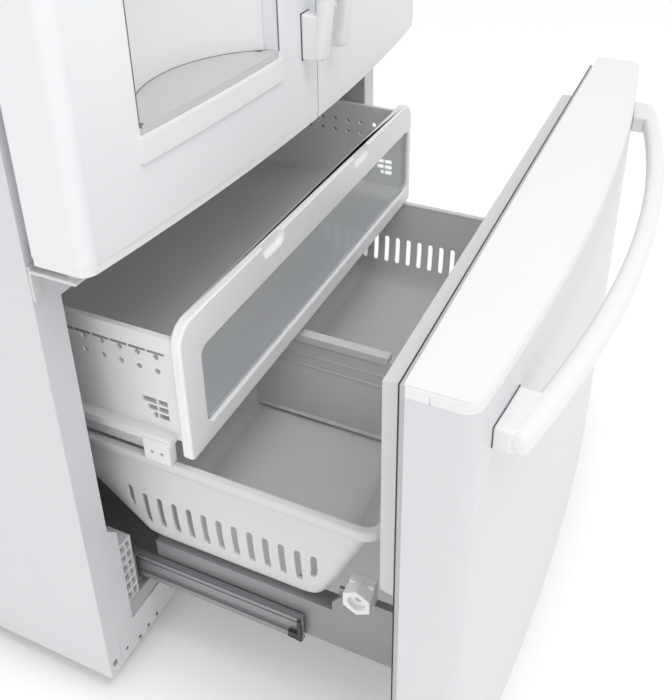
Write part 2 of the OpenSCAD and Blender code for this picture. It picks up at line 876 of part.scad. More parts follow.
module upper_basket() {
  y0 = up_y0 + 15;
  color(white) {
    difference() {
      box([-up_half, y0, up_bot_z], [up_half, up_y1, up_rim_z - 3]);
      box([3 - up_half, y0 - 1, up_bot_z + 3], [up_half - 3, up_y1 - 3, up_rim_z + 1]);
      for (r = [0:1])
        for (k = [0:15])
          translate([-up_half - 1, -70 + 26.2 * k, 514 + 21 * r]) rotate([0, 90, 0])
            cylinder(h = body_w, r = 4, $fn = 24);
      for (k = [0:2]) {
        box([-up_half - 1, -78, 439 + 11 * k], [up_half + 1, -64, 447 + 11 * k]);
        box([-up_half - 1, -62, 439 + 11 * k], [up_half + 1, -56 + 7 * k, 447 + 11 * k]);
      }
    }
    difference() {
      box([-up_half - 4, y0, up_rim_z - 23], [up_half + 4, up_y1 + 4, up_rim_z]);
      box([3 - up_half, y0 - 1, up_rim_z - 24], [up_half - 3, up_y1 - 3, up_rim_z + 1]);
    }
  }
}

module upper_frame() {
  color(white) difference() {
    along_y(up_y0, up_y0 + 15) {
      round_rect([-up_half - 8, 420], [up_half + 8, 590], 30);
      round_rect([-up_half - 8, 392], [up_half + 8, 480], 8);
    }
    along_y(up_y0 - 1, up_y0 + 16) round_rect([-325, 420], [352, 536], 12);
    for (x = [-170, 118])
      along_y(up_y0 - 1, up_y0 + 8) round_rect([x, 570], [x + 52, 600], 9);
  }
}

module upper_window() {
  color(clear_c) difference() {
    along_y(up_y0 + 5, up_y0 + 9) round_rect([-324.9, 420.1], [351.9, 535.9], 12);
    for (x = [-260:65:290])
      box([x, up_y0 + 4, 424], [x + 40, up_y0 + 6, 428]);
  }
}

module upper_runners() {
  color(white) for (s = [-1, 1])
    mirror([s == 1 ? 1 : 0, 0, 0])
      difference() {
        union() {
          box([-372, up_y0 + 26, up_bot_z - 1], [-up_half, up_y1 - 10, up_bot_z + 10]);
          box([-374, up_y0 + 28, low_rim_z + 1.5], [-361, up_y0 + 66, up_bot_z + 3]);
        }
        for (k = [0:1])
          translate([-375, up_y0 + 40 + 14 * k, up_bot_z - 16]) rotate([0, 90, 0])
            cylinder(h = 20, r = 2.5, $fn = 24);
      }
}
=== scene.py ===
# %% [markdown]
# # A french door refrigerator with its freezer drawer pulled out
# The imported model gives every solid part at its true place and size, in metres.
# This lesson dresses it: first the camera and the light, then the finishes,
# then the pieces whose looks need more than the plain solids give.

# %% Load the frame
import json
import math

import bmesh
import bpy
import numpy as np
from mathutils import Matrix


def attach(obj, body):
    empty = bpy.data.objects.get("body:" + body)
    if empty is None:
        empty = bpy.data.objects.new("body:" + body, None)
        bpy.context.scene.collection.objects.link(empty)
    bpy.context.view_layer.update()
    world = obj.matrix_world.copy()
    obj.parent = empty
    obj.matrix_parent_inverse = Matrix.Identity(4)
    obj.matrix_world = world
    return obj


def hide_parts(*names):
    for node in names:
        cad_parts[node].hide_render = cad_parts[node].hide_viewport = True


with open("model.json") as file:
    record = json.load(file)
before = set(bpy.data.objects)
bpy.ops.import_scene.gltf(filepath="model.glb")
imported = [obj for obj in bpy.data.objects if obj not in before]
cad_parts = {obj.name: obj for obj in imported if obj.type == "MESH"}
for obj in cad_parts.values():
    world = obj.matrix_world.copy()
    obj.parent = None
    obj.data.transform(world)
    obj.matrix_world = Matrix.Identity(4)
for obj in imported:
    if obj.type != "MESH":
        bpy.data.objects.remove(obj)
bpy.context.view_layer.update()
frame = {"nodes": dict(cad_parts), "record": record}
scene = bpy.context.scene

# %% [markdown]
# ## The camera
# The view looks down and from the left into the open drawer, and shows the lower
# third of the doors. A lens is described by its length in image heights, and the
# picture's centre is moved off the lens axis with the camera's shift.

# %% Place the camera
FRAME_W, FRAME_H = 672.0, 700.0
LENS, AXIS_X, AXIS_Y = 885.08, 362.87, 184.27
AZIMUTH, ELEVATION, ROLL = math.radians(66.356), math.radians(27.805), math.radians(0.042)
EYE = (-1.01064, -0.61939, 1.19419)


def camera_turn(azimuth, elevation, roll):
    """Columns right, up and back of a camera that looks along
    (sin a cos e, cos a cos e, -sin e), rolled about that line."""
    a, e = azimuth, elevation
    forward = np.array([math.sin(a) * math.cos(e), math.cos(a) * math.cos(e), -math.sin(e)])
    right = np.cross(forward, [0.0, 0.0, 1.0])
    right /= np.linalg.norm(right)
    up = np.cross(right, forward)
    c, s = math.cos(roll), math.sin(roll)
    right, up = c * right - s * up, s * right + c * up
    return np.column_stack([right, up, -forward])


camera_data = bpy.data.cameras.new("camera")
camera_data.lens = LENS / FRAME_H * camera_data.sensor_width
camera_data.shift_x = (FRAME_W / 2 - AXIS_X) / FRAME_H
camera_data.shift_y = (AXIS_Y - FRAME_H / 2) / FRAME_H
camera_data.clip_end = 50
camera = bpy.data.objects.new("camera", camera_data)
scene.collection.objects.link(camera)
place = Matrix.Identity(4)
for i, row in enumerate(camera_turn(AZIMUTH, ELEVATION, ROLL)):
    place[i][0], place[i][1], place[i][2], place[i][3] = *row, EYE[i]
camera.matrix_world = place
scene.camera = camera
print("lens mm:", round(camera_data.lens, 2), "shift:", round(camera_data.shift_x, 4),
      round(camera_data.shift_y, 4))

# %% [markdown]
# ## Light and floor
# White enamel needs large soft lamps: a broad one above, a weaker one at the left
# that reaches into the open drawer, and a pale room all round that fills the
# shadows. The room looks pure white but lights a little less than that, so that the
# bowed fronts keep their shading.

# %% Make the room light, lamps and floor
world = bpy.data.worlds.new("room")
scene.world = world
world.use_nodes = True
ROOM_LIGHT, BACKDROP = 0.86, 1.0
backdrop = world.node_tree.nodes["Background"]
backdrop.inputs["Color"].default_value = (1.0, 1.0, 1.0, 1)
seen = world.node_tree.nodes.new("ShaderNodeLightPath")
level = world.node_tree.nodes.new("ShaderNodeMapRange")
level.inputs["To Min"].default_value, level.inputs["To Max"].default_value = ROOM_LIGHT, BACKDROP
world.node_tree.links.new(seen.outputs["Is Camera Ray"], level.inputs["Value"])
world.node_tree.links.new(level.outputs["Result"], backdrop.inputs["Strength"])
scene.view_settings.view_transform = "Standard"


def soft_lamp(name, at, aim, size, power):
    """A square lamp at one point, turned so that it shines at another."""
    data = bpy.data.lights.new(name, "AREA")
    data.size, data.energy = size, power
    lamp = bpy.data.objects.new(name, data)
    scene.collection.objects.link(lamp)
    back = np.array(at, float) - np.array(aim, float)
    back /= np.linalg.norm(back)
    side = np.cross([0.0, 0.0, 1.0], back)
    side /= np.linalg.norm(side)
    turn = np.column_stack([side, np.cross(back, side), back])
    m = Matrix.Identity(4)
    for i in range(3):
        m[i][0], m[i][1], m[i][2], m[i][3] = *turn[i], at[i]
    lamp.matrix_world = m
    return lamp


soft_lamp("lamp_top", (-0.5, -1.1, 2.9), (0.0, -0.1, 0.4), 1.2, 20)
soft_lamp("lamp_left", (-2.8, -0.7, 0.9), (0.0, -0.1, 0.4), 1.4, 5)


def flat_grid(name, half, n):
    """A level square sheet of n by n cells, centred under the object, at height 0."""
    t = np.linspace(-half, half, n + 1)
    x, y = np.meshgrid(t, t, indexing="xy")
    points = np.stack([x, y, np.zeros_like(x)], -1).reshape(-1, 3)
    i = np.arange(n)[:, None] * (n + 1) + np.arange(n)[None, :]
    quads = np.stack([i, i + 1, i + n + 2, i + n + 1], -1).reshape(-1, 4)
    mesh = bpy.data.meshes.new(name)
    mesh.from_pydata(points.tolist(), [], quads.tolist())
    obj = bpy.data.objects.new(name, mesh)
    scene.collection.objects.link(obj)
    return obj


floor = flat_grid("floor", 9.0, 4)
floor.location.z = -0.001
print("lamps and floor made")

# %% [markdown]
# ## Effects that several finishes share
# Real surfaces are never one even value. Three small node groups give each finish
# its fine unevenness: a wavy coat like sprayed enamel, the fine grain of moulded
# plastic, and the crystal pattern of zinc on steel. They put out masks and heights
# only, and each material places them with its own values.

# %% Build the shared node groups
def new_group(name, ins, outs):
    """An empty shader node group with number sockets of these names."""
    tree = bpy.data.node_groups.new(name, "ShaderNodeTree")
    for label, value in ins:
        s = tree.interface.new_socket(label, in_out="INPUT", socket_type="NodeSocketFloat")
        s.default_value = value
    for label in outs:
        tree.interface.new_socket(label, in_out="OUTPUT", socket_type="NodeSocketFloat")
    return tree, tree.nodes.new("NodeGroupInput"), tree.nodes.new("NodeGroupOutput")


def make_texture_group(name, kind, scale, detail):
    """Height = fine pattern at Scale; Mask = slow clouding at a twentieth of it."""
    tree, gin, gout = new_group(name, [("Scale", scale)], ["Height", "Mask"])
    n, l = tree.nodes, tree.links
    coords = n.new("ShaderNodeTexCoord")
    fine = n.new(kind)
    l.new(coords.outputs["Object"], fine.inputs["Vector"])
    l.new(gin.outputs["Scale"], fine.inputs["Scale"])
    if kind == "ShaderNodeTexNoise":
        fine.inputs["Detail"].default_value = detail
        l.new(fine.outputs["Fac"], gout.inputs["Height"])
    else:
        l.new(fine.outputs["Distance"], gout.inputs["Height"])
    slow = n.new("ShaderNodeTexNoise")
    slow.inputs["Detail"].default_value = 3
    part = n.new("ShaderNodeMath")
    part.operation = "MULTIPLY"
    part.inputs[1].default_value = 0.05
    l.new(gin.outputs["Scale"], part.inputs[0])
    l.new(part.outputs[0], slow.inputs["Scale"])
    l.new(coords.outputs["Object"], slow.inputs["Vector"])
    l.new(slow.outputs["Fac"], gout.inputs["Mask"])
    return tree


enamel_wave = make_texture_group("enamel_wave", "ShaderNodeTexNoise", 220.0, 1.0)
mould_grain = make_texture_group("mould_grain", "ShaderNodeTexNoise", 1400.0, 4.0)
zinc_crystals = make_texture_group("zinc_crystals", "ShaderNodeTexVoronoi", 160.0, 0.0)
print("groups:", [g.name for g in bpy.data.node_groups])

# %% [markdown]
# ## The finishes
# Every finish mixes two close colours by the slow mask, lets its roughness drift
# a little, and adds a faint bump. Dirt in creases is not painted, but some finishes
# are lighter or darker copies of one material that paint light or shade, and a few
# near-black and grey finishes paint the shade in gaps and joints.

# %% Write one function that makes a finish
def finish(name, colour, tint, rough, spread, group, scale, bump, metallic=0.0, coat=0.0,
           transmission=0.0, ior=1.45):
    """Colour and roughness drift between two ends with the group's mask,
    and the group's height makes a bump of the given strength."""
    mat = bpy.data.materials.new(name)
    mat.use_nodes = True
    mat.diffuse_color = (*colour, 1)
    n, l = mat.node_tree.nodes, mat.node_tree.links
    bsdf = n["Principled BSDF"]
    g = n.new("ShaderNodeGroup")
    g.node_tree = group
    g.inputs["Scale"].default_value = scale
    mix = n.new("ShaderNodeMix")
    mix.data_type = "RGBA"
    mix.inputs[6].default_value = (*colour, 1)
    mix.inputs[7].default_value = (*tint, 1)
    l.new(g.outputs["Mask"], mix.inputs[0])
    l.new(mix.outputs[2], bsdf.inputs["Base Color"])
    drift = n.new("ShaderNodeMapRange")
    drift.inputs["To Min"].default_value = rough - spread
    drift.inputs["To Max"].default_value = rough + spread
    l.new(g.outputs["Mask"], drift.inputs["Value"])
    l.new(drift.outputs["Result"], bsdf.inputs["Roughness"])
    relief = n.new("ShaderNodeBump")
    relief.inputs["Strength"].default_value = bump
    relief.inputs["Distance"].default_value = 0.0004
    l.new(g.outputs["Height"], relief.inputs["Height"])
    l.new(relief.outputs["Normal"], bsdf.inputs["Normal"])
    bsdf.inputs["Metallic"].default_value = metallic
    bsdf.inputs["Coat Weight"].default_value = coat
    bsdf.inputs["Coat Roughness"].default_value = 0.05
    bsdf.inputs["Transmission Weight"].default_value = transmission
    bsdf.inputs["IOR"].default_value = ior
    return mat


white_enamel = finish("white_enamel", (0.66, 0.67, 0.69), (0.68, 0.69, 0.705), 0.30, 0.03, enamel_wave,
                      60, 0.012, coat=0.08)
# The doors take a lighter copy of the white enamel that the sides and drawer front have: painted light on the
# doors.
door_enamel_painted_light = finish("door_enamel_painted_light", (0.80, 0.81, 0.83), (0.82, 0.83, 0.845), 0.30, 0.03, enamel_wave, 60,
                     0.012, coat=0.08)
white_gloss = finish("white_gloss_plastic", (0.80, 0.805, 0.815), (0.825, 0.83, 0.835), 0.34, 0.04,
                     mould_grain, 220, 0.008, coat=0.05)
# The upper frame takes a lighter copy of the white plastic: painted light on the frame.
frame_plastic_painted_light = finish("frame_plastic_painted_light", (0.86, 0.865, 0.875), (0.89, 0.895, 0.90), 0.32, 0.04,
                        mould_grain, 220, 0.010)
# The upper basket takes a lighter copy of the basket plastic: painted light on the upper basket.
basket_painted_light = finish("upper_basket_painted_light", (0.80, 0.805, 0.815), (0.83, 0.835, 0.84), 0.34, 0.05,
                       mould_grain, 240, 0.015)
liner_white = finish("liner_plastic", (0.66, 0.67, 0.68), (0.69, 0.695, 0.70), 0.38, 0.05, mould_grain,
                     260, 0.015)
basket_white = finish("basket_plastic", (0.66, 0.665, 0.675), (0.69, 0.695, 0.70), 0.34, 0.05,
                      mould_grain, 240, 0.015)
# The freezer's inner walls and floor take a darker copy of the liner plastic: painted shade for the deep
# shadow inside.
liner_painted_shade = finish("freezer_liner_painted_shade", (0.42, 0.43, 0.44), (0.48, 0.49, 0.50), 0.45, 0.06,
                     mould_grain, 240, 0.02)
clear_plastic = finish("clear_plastic", (0.93, 0.95, 0.96), (0.97, 0.98, 0.99), 0.06, 0.02, enamel_wave,
                       40, 0.01, transmission=0.96, ior=1.12)
shelf_glass = finish("shelf_glass", (0.86, 0.94, 0.92), (0.92, 0.97, 0.96), 0.04, 0.02, enamel_wave, 40,
                     0.005, transmission=0.94, ior=1.35)
zinc_steel = finish("zinc_steel", (0.26, 0.265, 0.275), (0.34, 0.345, 0.355), 0.36, 0.08, zinc_crystals,
                    120, 0.02, metallic=0.5)
sheet_grey = finish("grey_painted_sheet", (0.50, 0.51, 0.52), (0.55, 0.56, 0.57), 0.45, 0.06,
                    enamel_wave, 80, 0.02)
white_bracket = finish("white_painted_steel", (0.62, 0.63, 0.64), (0.67, 0.68, 0.69), 0.35, 0.05,
                       enamel_wave, 80, 0.02)
# Near-black finish for thin strips: painted shadow in gaps and where parts meet.
painted_gap_shadow = finish("gap_shadow_painted", (0.030, 0.032, 0.036), (0.050, 0.052, 0.056), 0.7, 0.08,
                   mould_grain, 260, 0.05)
# Dark grey finish for thin strips: painted shade in gaps.
painted_gap_shade = finish("gap_shade_painted_grey", (0.16, 0.165, 0.17), (0.22, 0.225, 0.23), 0.6, 0.08, mould_grain,
                   260, 0.05)
pale_seal = finish("pale_seal", (0.52, 0.53, 0.54), (0.58, 0.585, 0.59), 0.55, 0.08, mould_grain, 260, 0.04)
# Black plastic of the real black parts; also painted shade in the runner grooves.
dark_plastic_and_painted_shade = finish("dark_plastic_and_painted_shade", (0.022, 0.023, 0.026), (0.045, 0.046, 0.050), 0.42, 0.08,
                      mould_grain, 260, 0.04)
tray_grey = finish("tray_plastic", (0.54, 0.545, 0.555), (0.58, 0.585, 0.59), 0.40, 0.05, mould_grain,
                   240, 0.015)
# Grey plastic of the mullion flap; also painted shade in the upper basket's pockets.
grey_plastic_and_painted_shade = finish("grey_plastic_and_painted_shade", (0.24, 0.25, 0.26), (0.30, 0.31, 0.32), 0.40, 0.06, mould_grain,
                      260, 0.04)
brass = finish("brass_fitting", (0.66, 0.48, 0.22), (0.74, 0.56, 0.30), 0.30, 0.08, zinc_crystals, 300,
               0.03, metallic=0.95)
floor_paint = finish("floor_paint", (0.96, 0.96, 0.96), (0.98, 0.98, 0.98), 0.85, 0.04, enamel_wave, 20, 0.01)
floor_shader = floor_paint.node_tree.nodes["Principled BSDF"]
floor_shader.inputs["Emission Color"].default_value = (1.0, 1.0, 1.0, 1)
floor_shader.inputs["Emission Strength"].default_value = 0.12
floor.data.materials.append(floor_paint)
print("finishes:", len(bpy.data.materials))

# %% [markdown]
# ## Mesh helpers
# Most pieces are the same few kinds of surface: a prism with softly broken edges,
# a section drawn along a path, and a skin stretched over rows of points.

# %% Write the helpers that put arrays into meshes
BODY_OF = {node: body for body, nodes in frame["record"]["behaviour"]["bodies"].items() for node in nodes}


def add_piece(name, points, faces, material, body, smooth_angle=35.0, node=None):
    """Puts points and faces into a mesh, joins equal corners, keeps open rims sharp,
    and lets the piece ride on a body."""
    mesh = bpy.data.meshes.new(name)
    mesh.from_pydata(np.asarray(points, float).tolist(), [], [list(map(int, f)) for f in faces])
    bm = bmesh.new()
    bm.from_mesh(mesh)
    bmesh.ops.remove_doubles(bm, verts=bm.verts, dist=2e-6)
    bmesh.ops.dissolve_degenerate(bm, dist=1e-7, edges=bm.edges)
    bmesh.ops.recalc_face_normals(bm, faces=bm.faces)
    rims = np.array([edge.is_boundary for edge in bm.edges])
    bm.to_mesh(mesh)
    bm.free()
    mesh.materials.append(material)
    mesh.polygons.foreach_set("use_smooth", np.ones(len(mesh.polygons), bool))
    mesh.set_sharp_from_angle(angle=math.radians(smooth_angle))
    if rims.any():
        sharp = mesh.attributes.get("sharp_edge") or mesh.attributes.new("sharp_edge", "BOOLEAN", "EDGE")
        values = np.zeros(len(mesh.edges), bool)
        sharp.data.foreach_get("value", values)
        sharp.data.foreach_set("value", values | rims)
    obj = bpy.data.objects.new(name, mesh)
    scene.collection.objects.link(obj)
    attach(obj, body)
    if node:
        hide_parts(node)
    return obj


def soften(obj, width, segments=3):
    """Rounds every edge sharper than 30 degrees with a bevel of that width in metres."""
    bevel = obj.modifiers.new("soft_edges", "BEVEL")
    bevel.width, bevel.segments, bevel.limit_method = width, segments, "ANGLE"
    bevel.angle_limit = math.radians(30)
    bevel.harden_normals = True
    bevel.use_clamp_overlap = True
    return obj


def grid_faces(rows, cols, closed=False):
    """Quads between rows x cols points, wrapping round the columns when closed."""
    span = cols if closed else cols - 1
    r, c = np.arange(rows - 1)[:, None] * cols, np.arange(span)[None, :]
    d = (c + 1) % cols
    return np.stack([r + c, r + d, r + cols + d, r + cols + c], -1).reshape(-1, 4)


def join_parts(parts):
    """Stacks (points, faces) pairs into one pair, with the faces' numbers moved on."""
    points, faces, n = [], [], 0
    for p, f in parts:
        p = np.asarray(p, float).reshape(-1, 3)
        points.append(p)
        faces += [[int(v) + n for v in face] for face in f]
        n += len(p)
    return np.concatenate(points), faces


def prism(outline, low, high, axis):
    """Points and faces of a flat outline pulled along axis 0, 1 or 2 from low to high."""
    outline = np.asarray(outline, float)
    n = len(outline)
    rows = [np.insert(outline, axis, level, axis=1) for level in (low, high)]
    faces = [list(f) for f in grid_faces(2, n, closed=True)]
    return np.concatenate(rows), faces + [list(range(n))[::-1], list(range(n, 2 * n))]


def block(low, high):
    """Points and faces of a box from its low to its high corner."""
    (x0, y0, z0), (x1, y1, z1) = low, high
    return prism([(x0, y0), (x1, y0), (x1, y1), (x0, y1)], z0, z1, 2)


def mirror_x(part):
    """The mirror image of a part across the plane X = 0."""
    points, faces = part
    return np.asarray(points, float) * [-1, 1, 1], [list(f)[::-1] for f in faces]


def merged_faces(node):
    """A copy of a node's triangles with equal corners joined and flat faces made whole."""
    bm = bmesh.new()
    bm.from_mesh(frame["nodes"][node].data)
    bmesh.ops.remove_doubles(bm, verts=bm.verts, dist=1e-5)
    bmesh.ops.dissolve_limit(bm, angle_limit=math.radians(0.6), verts=bm.verts, edges=bm.edges)
    mesh = bpy.data.meshes.new(node + "_soft")
    bm.to_mesh(mesh)
    bm.free()
    return mesh


def soft_copy(node, material, width=0.0008, segments=2):
    """A node's own shape with its corners joined and its edges broken by a small bevel."""
    mesh = merged_faces(node)
    mesh.materials.clear()
    mesh.materials.append(material)
    mesh.polygons.foreach_set("use_smooth", np.ones(len(mesh.polygons), bool))
    mesh.set_sharp_from_angle(angle=math.radians(30))
    obj = bpy.data.objects.new(node + "_soft", mesh)
    scene.collection.objects.link(obj)
    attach(obj, BODY_OF[node])
    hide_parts(node)
    return soften(obj, width, segments)


print("helpers ready")

# %% [markdown]
# ## Parts that keep their own solid
# Hidden or plain parts stay as the frame made them and only take a finish.

# %% Give finishes to the plain parts
PLAIN = {
    "side_panel_left": white_enamel, "side_panel_right": white_enamel, "top_panel": white_enamel,
    "back_panel": sheet_grey, "rear_cover": sheet_grey, "base_pan": zinc_steel,
    "wall_left": liner_painted_shade, "wall_right": liner_painted_shade, "back_wall": liner_painted_shade,
    "freezer_floor": liner_painted_shade, "compartment_divider": liner_white,
    "compressor": dark_plastic_and_painted_shade, "condenser": zinc_steel, "condenser_fan": dark_plastic_and_painted_shade,
    "water_inlet": brass, "crisper_left": clear_plastic, "crisper_right": clear_plastic,
    "door_left_gasket": pale_seal, "door_right_gasket": pale_seal, "freezer_gasket": pale_seal,
    "roller_left": dark_plastic_and_painted_shade, "roller_right": dark_plastic_and_painted_shade, "shelf_top": shelf_glass,
    "shelf_middle": shelf_glass, "crisper_cover": shelf_glass,
}
for node, material in PLAIN.items():
    mesh = frame["nodes"][node].data
    mesh.materials.clear()
    mesh.materials.append(material)
print("plain parts:", len(PLAIN))

# %% [markdown]
# ## Parts with softly broken edges
# No moulded or folded part has a knife edge. These keep their solid's shape, and a
# small bevel lets every edge catch a thin line of light.

# %% Break the edges of the visible parts
SOFT = {
    "base_rail": (white_enamel, 0.0006, 2), "rib_brackets": (basket_white, 0.0006, 2),
    "hinges_top": (white_gloss, 0.003, 3), "hinges_centre": (white_bracket, 0.0008, 2),
    "levelling_legs": (zinc_steel, 0.0008, 2), "rail_channels": (zinc_steel, 0.0004, 2),
    "basket_ledges": (liner_white, 0.002, 3), "filter_housing": (white_gloss, 0.003, 3),
    "door_left_shell": (door_enamel_painted_light, 0.0012, 3), "door_right_shell": (door_enamel_painted_light, 0.0012, 3),
    "door_left_caps": (white_gloss, 0.0022, 3), "door_right_caps": (white_gloss, 0.0022, 3),
    "door_left_liner": (liner_white, 0.003, 3), "door_right_liner": (liner_white, 0.003, 3),
    "door_left_bins": (clear_plastic, 0.0012, 2), "door_right_bins": (clear_plastic, 0.0012, 2),
    "mullion_flap": (grey_plastic_and_painted_shade, 0.001, 2), "dispenser_housing": (white_gloss, 0.0015, 3),
    "dispenser_paddle": (dark_plastic_and_painted_shade, 0.001, 2), "dispenser_tray": (tray_grey, 0.0006, 2),
    "freezer_front": (white_enamel, 0.0012, 3), "freezer_top_cap": (white_gloss, 0.0012, 3),
    "freezer_liner": (liner_white, 0.005, 4), "mid_rails": (zinc_steel, 0.0006, 2),
    "drawer_rails": (zinc_steel, 0.0006, 2), "rail_adjusters": (white_gloss, 0.0015, 3),
    "basket_divider": (basket_white, 0.0005, 2), "upper_basket": (basket_painted_light, 0.0006, 2),
    "upper_frame": (frame_plastic_painted_light, 0.0050, 5), "upper_window": (clear_plastic, 0.0006, 2),
    "upper_runners": (white_gloss, 0.0012, 3),
}
for node, (material, width, segments) in SOFT.items():
    soft_copy(node, material, width, segments)
print("softened parts:", len(SOFT))

# %% [markdown]
# ## Handles
# A handle bar is one rounded section carried along a wide arc. Towards each end the
# section shrinks like a quarter circle, which rounds the tip off. The feet are
# prisms that reach from the door to the bar, with a thin dark strip of painted
# shadow where they meet the door.

# %% Write the bar sweep
def rounded_section(half_a, half_b, power, n=28):
    """Superellipse points: |a/half_a|^power + |b/half_b|^power = 1."""
    t = np.linspace(0, 2 * np.pi, n, endpoint=False)
    c, s = np.cos(t), np.sin(t)
    return np.stack([half_a * np.sign(c) * np.abs(c) ** (2 / power),
                     half_b * np.sign(s) * np.abs(s) ** (2 / power)], -1)


def arc_bar(radius, half_chord, section, tip, n=72):
    """A bar in its own plane: along u on a circle of that radius whose top is at v = 0,
    with the section's first value across the arc and its second out of the plane."""
    side = np.arcsin(half_chord / radius)
    turn = np.linspace(-side, side, n)
    near = (side - np.abs(turn)) * radius
    extra = side - tip * np.array([0.999, 0.96, 0.88, 0.75, 0.58, 0.38, 0.18]) / radius
    turn = np.unique(np.concatenate([turn[near > tip], extra, -extra, [-side, side]]))
    near = np.clip((side - np.abs(turn)) * radius / tip, 0, 1)
    scale = np.maximum(np.sqrt(1 - (1 - near) ** 2), 0.02)
    out = radius - radius * np.cos(turn)
    rows = []
    for a, v, k in zip(turn, out, scale):
        across, plane = section[:, 0] * k, section[:, 1] * k
        rows.append(np.stack([(radius + across) * np.sin(a),
                              radius - (radius + across) * np.cos(a), plane], -1))
    count, width = len(rows), len(section)
    faces = [list(f) for f in grid_faces(count, width, closed=True)]
    faces += [list(range(width))[::-1], list(range((count - 1) * width, count * width))]
    return np.concatenate(rows), faces


print("bar sweep ready")

# %% Make the level handle of the drawer
DOOR_RADIUS = 3.450
DRAWER_EDGE, DOOR_EDGE = -0.481, -0.080


def front_y(x, edge):
    """Place along Y of the bowed front at x: edge - crown, falling back along one wide arc."""
    return edge - 0.030 + DOOR_RADIUS - np.sqrt(DOOR_RADIUS ** 2 - np.asarray(x) ** 2)


bar, bar_faces = arc_bar(1.609, 0.4165, rounded_section(0.0120, 0.0140, 2.7), 0.009)
bar = np.stack([bar[:, 0], bar[:, 1] - 0.561, bar[:, 2] + 0.619], -1)
foot_x = np.linspace(-0.416, -0.350, 5)
surface = front_y(foot_x, DRAWER_EDGE)
foot = np.concatenate([np.stack([foot_x, surface + 0.001], -1),
                       [(-0.350, -0.528), (-0.383, -0.518), (-0.410, -0.510), (-0.416, -0.503)]])
foot_part = prism(foot, 0.6055, 0.6325, 2)
add_piece("drawer_handle_bar", bar, bar_faces, white_gloss, "drawer", 60, "freezer_handle")
feet = add_piece("drawer_handle_feet", *join_parts([foot_part, mirror_x(foot_part)]), white_gloss, "drawer")
soften(feet, 0.0035, 4)
# Thin dark strips round the feet where they meet the door: painted contact shadow.
shadow_strip = np.concatenate([np.stack([foot_x, surface + 0.001], -1),
                       np.stack([foot_x, surface - 0.0005], -1)[::-1]])
shadow_strip[:, 0] = np.where(shadow_strip[:, 0] < -0.38, shadow_strip[:, 0] - 0.0004, shadow_strip[:, 0] + 0.0004)
shadow_strip_part = prism(shadow_strip, 0.6085, 0.6330, 2)
add_piece("drawer_handle_shadow_strips", *join_parts([shadow_strip_part, mirror_x(shadow_strip_part)]), painted_gap_shadow, "drawer")
print("drawer handle:", len(bar), "points")

# %% Make the two upright handles
upright, upright_faces = arc_bar(2.5404, 0.3895, rounded_section(0.0098, 0.0120, 2.8), 0.007)
for body, sign in (("door_left", -1), ("door_right", 1)):
    x = sign * 0.032
    line = np.stack([upright[:, 2] + x, upright[:, 1] - 0.1602, upright[:, 0] + 1.190], -1)
    add_piece(body + "_handle_bar", line, upright_faces, white_gloss, body, 60, body + "_handle")
    ends, shadow_strips = [], []
    for z0, z1 in ((0.8005, 0.8625), (1.5175, 1.5795)):
        side = [(-0.1090, z0), (-0.1090, z1), (-0.1310, z1), (-0.1400, (z0 + z1) / 2), (-0.1310, z0)]
        ends.append(prism(side, x - 0.0112, x + 0.0112, 0))
        # Thin dark strip round each foot at the door: painted contact shadow.
        shadow_strips.append(block((x - 0.0117, -0.1104, z0 - 0.0004), (x + 0.0117, -0.1088, z1 + 0.0004)))
    soften(add_piece(body + "_handle_feet", *join_parts(ends), white_gloss, body), 0.0035, 4)
    add_piece(body + "_handle_shadow_strips", *join_parts(shadow_strips), painted_gap_shadow, body)
print("upright handles made")

# %% [markdown]
# ## The lower basket
# The wall is one skin round the basket. Its rows go down from the rim and its
# columns go round. The front leans back as it goes down, the corners are rounded,
# and thirteen slots with round ends are left out of each side. Every slot sits in a
# block of the skin, and a ring of faces joins the slot's outline to the block's edge.

# %% Describe the basket's shape
SLOT_PITCH, SLOT_FIRST, SLOT_COUNT = 0.0223, -0.0035, 13
SLOT_HALF, SLOT_TOP = 0.0044, 0.302
BLOCK_HALF, BLOCK_LOW, BLOCK_HIGH = 0.0078, 0.238, 0.310
CORNER = 0.018


def half_width(z):
    """The side is upright down to 290 mm and then curves in towards the bottom."""
    return np.interp(z, [0.203, 0.205, 0.210, 0.222, 0.238, 0.254, 0.272, 0.290],
                     [0.336, 0.3415, 0.348, 0.3548, 0.3585, 0.3610, 0.3630, 0.364])


def front_line(z):
    """The front leans back by 0.47 of its fall and ends in a rounded corner."""
    lean = -0.353 + (0.381 - z) * 0.4719
    return lean + np.interp(z, [0.203, 0.2045, 0.208, 0.214, 0.223, 0.232],
                            [0.0300, 0.0195, 0.0100, 0.0042, 0.0010, 0.0])


def floor_height(y):
    """The bottom is flat at 203 mm and steps up to 276 mm over the back."""
    return 0.203 + 0.073 * np.clip((np.asarray(y) + 0.020) / 0.078, 0, 1)


def side_y(y, z):
    """Moves a column's place back where the leaning front would cut it off."""
    end = np.maximum(-0.285, front_line(z) + CORNER)
    start = np.interp(z, [0.203, 0.238], [0.010, -0.256])
    return y + (end + 0.285) * np.clip((start - y) / (start + 0.285), 0, 1)


def drop(y, z):
    """Squeezes the rows so that the wall ends at the stepped bottom."""
    low = floor_height(y)
    return low + (z - 0.203) * (0.381 - low) / 0.178


print("basket width at the bottom:", round(2 * float(half_width(0.203)), 3))

# %% Build the basket's skin
def side_points(y, z):
    """Points of the left side at the given columns and heights."""
    y2 = side_y(y, z)
    return np.stack([-half_width(z), y2, drop(y2, z)], -1)


